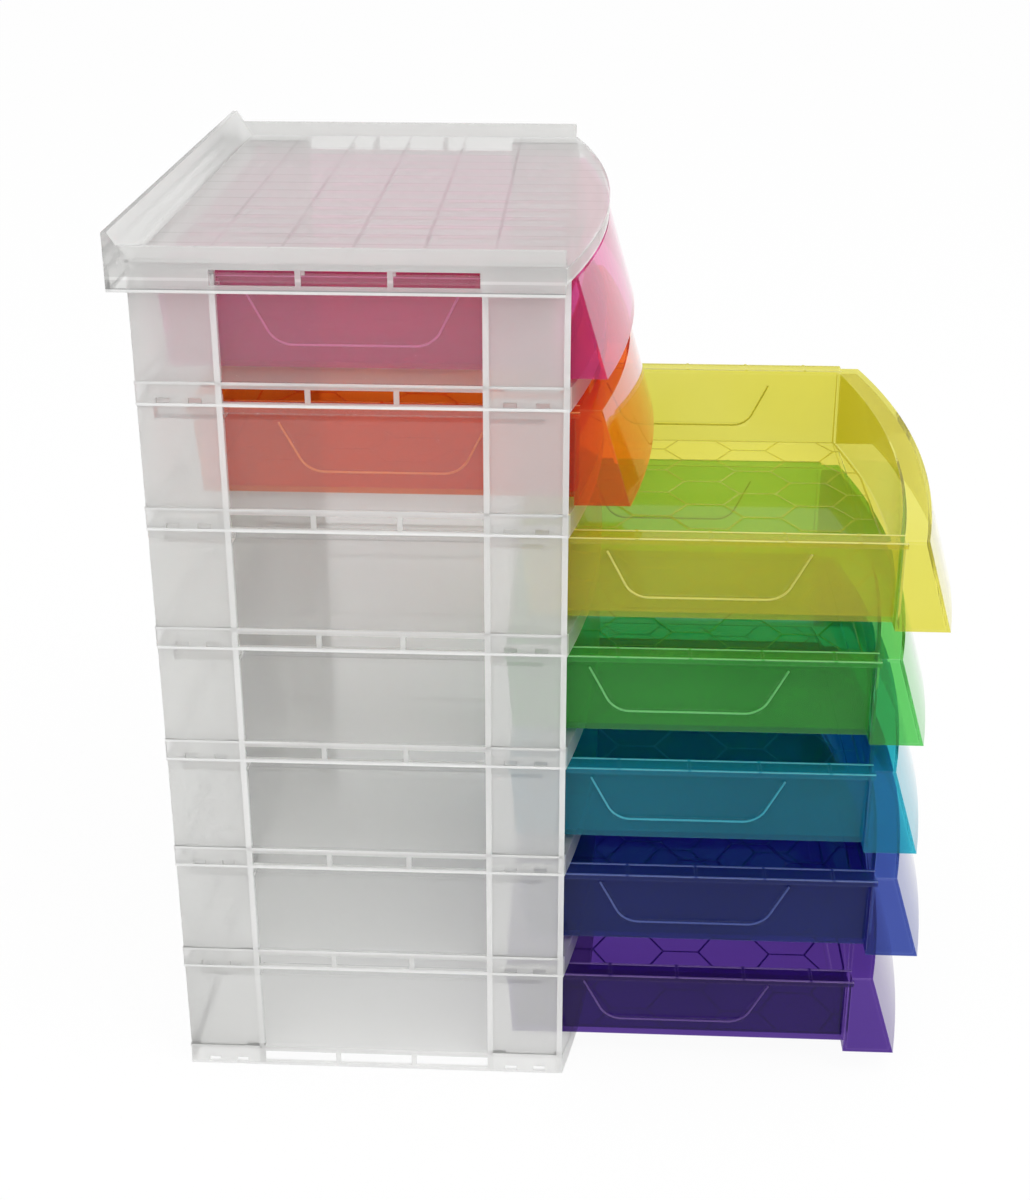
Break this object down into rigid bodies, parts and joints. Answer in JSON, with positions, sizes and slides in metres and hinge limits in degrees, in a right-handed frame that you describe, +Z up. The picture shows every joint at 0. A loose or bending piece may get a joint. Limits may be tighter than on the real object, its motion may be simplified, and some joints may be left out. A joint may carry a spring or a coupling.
{
  "type": "desktop drawer unit",
  "caption": "Desktop storage tower of frosted clear plastic with a stack of see-through tinted drawers in rainbow colours, most of them pulled open.",
  "frame": {"origin": "centre of the body's footprint on the table, in the plane of the base shelf's underside", "axes": "+X across the unit towards its right side seen from the front, -Y out of the drawer fronts, +Z up"},
  "size_m": [0.242, 0.3231, 0.367],
  "materials": {
    "frosted_clear": "frosted translucent colourless",
    "pink_tint": "glossy transparent pink",
    "orange_tint": "glossy transparent orange",
    "yellow_tint": "glossy transparent yellow",
    "green_tint": "glossy transparent green",
    "teal_tint": "glossy transparent teal",
    "blue_tint": "glossy transparent blue",
    "purple_tint": "glossy transparent purple"
  },
  "bodies": {
    "cabinet": {"top_cover": "frosted_clear", "shelf_1": "frosted_clear", "left_panel_1": "frosted_clear", "right_panel_1": "frosted_clear", "back_panel_1": "frosted_clear", "shelf_2": "frosted_clear", "left_panel_2": "frosted_clear", "right_panel_2": "frosted_clear", "back_panel_2": "frosted_clear", "shelf_3": "frosted_clear", "left_panel_3": "frosted_clear", "right_panel_3": "frosted_clear", "back_panel_3": "frosted_clear", "shelf_4": "frosted_clear", "left_panel_4": "frosted_clear", "right_panel_4": "frosted_clear", "back_panel_4": "frosted_clear", "shelf_5": "frosted_clear", "left_panel_5": "frosted_clear", "right_panel_5": "frosted_clear", "back_panel_5": "frosted_clear", "shelf_6": "frosted_clear", "left_panel_6": "frosted_clear", "right_panel_6": "frosted_clear", "back_panel_6": "frosted_clear", "base_shelf": "frosted_clear", "left_panel_7": "frosted_clear", "right_panel_7": "frosted_clear", "back_panel_7": "frosted_clear"},
    "pink": {"pink_drawer": "pink_tint"},
    "orange": {"orange_drawer": "orange_tint"},
    "yellow": {"yellow_drawer": "yellow_tint"},
    "green": {"green_drawer": "green_tint"},
    "teal": {"teal_drawer": "teal_tint"},
    "blue": {"blue_drawer": "blue_tint"},
    "purple": {"purple_drawer": "purple_tint"}
  },
  "joints": [
    {"name": "pink_slide", "type": "slide", "parent": "cabinet", "child": "pink", "axis": [0, -1, 0], "range_m": [0, 0.136]},
    {"name": "orange_slide", "type": "slide", "parent": "cabinet", "child": "orange", "axis": [0, -1, 0], "range_m": [-0.0096, 0.1264]},
    {"name": "yellow_slide", "type": "slide", "parent": "cabinet", "child": "yellow", "axis": [0, -1, 0], "range_m": [-0.1336, 0.0024]},
    {"name": "green_slide", "type": "slide", "parent": "cabinet", "child": "green", "axis": [0, -1, 0], "range_m": [-0.1276, 0.0084]},
    {"name": "teal_slide", "type": "slide", "parent": "cabinet", "child": "teal", "axis": [0, -1, 0], "range_m": [-0.1291, 0.0069]},
    {"name": "blue_slide", "type": "slide", "parent": "cabinet", "child": "blue", "axis": [0, -1, 0], "range_m": [-0.1336, 0.0024]},
    {"name": "purple_slide", "type": "slide", "parent": "cabinet", "child": "purple", "axis": [0, -1, 0], "range_m": [-0.1276, 0.0084]}
  ]
}
